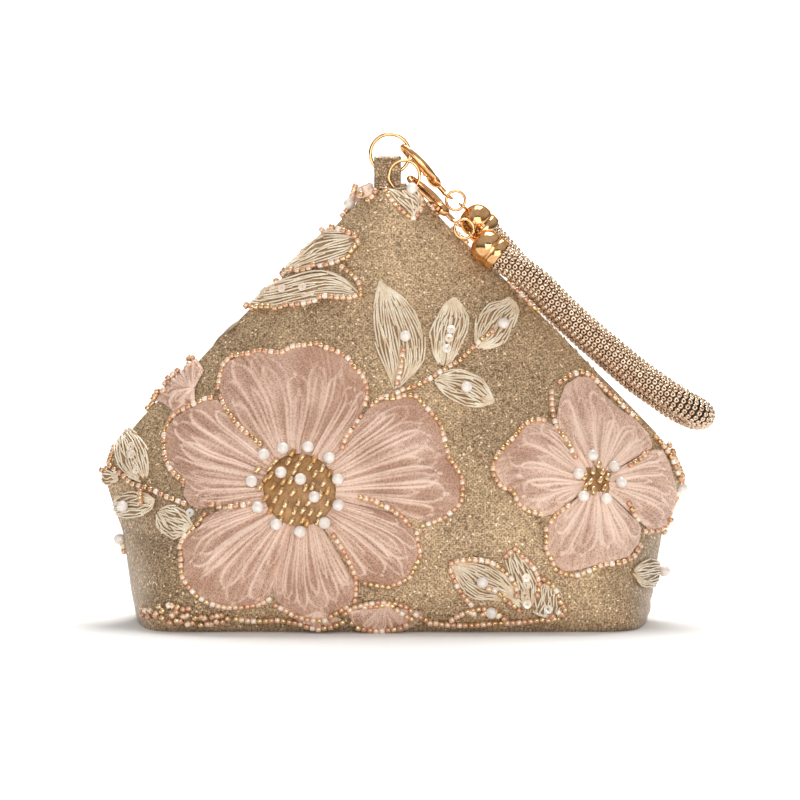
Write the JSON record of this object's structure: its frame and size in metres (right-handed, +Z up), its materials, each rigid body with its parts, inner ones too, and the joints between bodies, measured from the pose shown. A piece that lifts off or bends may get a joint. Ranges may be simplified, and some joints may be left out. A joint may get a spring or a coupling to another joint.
{
  "type": "embroidered pyramid wristlet clutch",
  "caption": "Soft pyramid-shaped evening clutch in metallic linen with applied flowers and a detachable mesh-tube wrist loop.",
  "frame": {"origin": "centre of the base's underside, where the clutch stands", "axes": "+Z up, the decorated front faces -Y, width along X with the wrist loop at +X"},
  "size_m": [0.2014, 0.0795, 0.1611],
  "materials": {
    "linen_tissue": "metallic linen, glittering weave",
    "tulle": "sheer gathered net",
    "leaf_thread": "satin thread strands",
    "flower_heart": "amber bugle beads with pearls",
    "gold_metal": "polished light gold plate",
    "mesh_metal": "rose gold popcorn mesh",
    "tab_leather": "crackled metallic leather",
    "zip_tape": "woven tape"
  },
  "bodies": {
    "clutch": {"pouch_shell": "linen_tissue", "mouth_zip": "zip_tape", "apex_tab": "tab_leather", "front_loop": "linen_tissue", "tab_ring": "gold_metal", "front_ring": "gold_metal", "claw_front_body": "gold_metal", "claw_rear_body": "gold_metal", "jump_ring_front": "gold_metal", "jump_ring_rear": "gold_metal", "end_cap_front": "gold_metal", "end_cap_rear": "gold_metal", "strap_tube": "mesh_metal", "large_flower_heart": "flower_heart", "large_petal_top": "tulle", "large_petal_right": "tulle", "large_petal_low_right": "tulle", "large_petal_low": "tulle", "large_petal_low_left": "tulle", "large_petal_left": "tulle", "small_flower_heart": "flower_heart", "small_petal_top": "tulle", "small_petal_left": "tulle", "small_petal_low": "tulle", "small_petal_right": "tulle", "leaf_tall": "leaf_thread", "leaf_middle": "leaf_thread", "leaf_upper_right": "leaf_thread", "leaf_lower_right": "leaf_thread", "leaf_ridge_upper": "leaf_thread", "leaf_ridge_lower": "leaf_thread", "leaf_side_tall": "leaf_thread", "leaf_side_left": "leaf_thread", "leaf_side_right": "leaf_thread", "leaf_base_left": "leaf_thread", "leaf_base_middle": "leaf_thread", "leaf_base_right": "leaf_thread", "leaf_corner_right": "leaf_thread"},
    "front_gate": {"claw_front_gate": "gold_metal"},
    "rear_gate": {"claw_rear_gate": "gold_metal"}
  },
  "joints": [
    {"name": "front_gate_hinge", "type": "hinge", "parent": "clutch", "child": "front_gate", "pos_m": [0.01513, -0.00738, 0.13665], "axis": [-0.6259, 0.241, -0.7417], "range_deg": [0, 24], "stiffness_Nm_per_rad": 0.004, "springref_deg": -28.65},
    {"name": "rear_gate_hinge", "type": "hinge", "parent": "clutch", "child": "rear_gate", "pos_m": [0.01273, 0.00429, 0.14566], "axis": [0.7033, 0.2556, 0.6634], "range_deg": [0, 24], "stiffness_Nm_per_rad": 0.004, "springref_deg": -28.65}
  ]
}
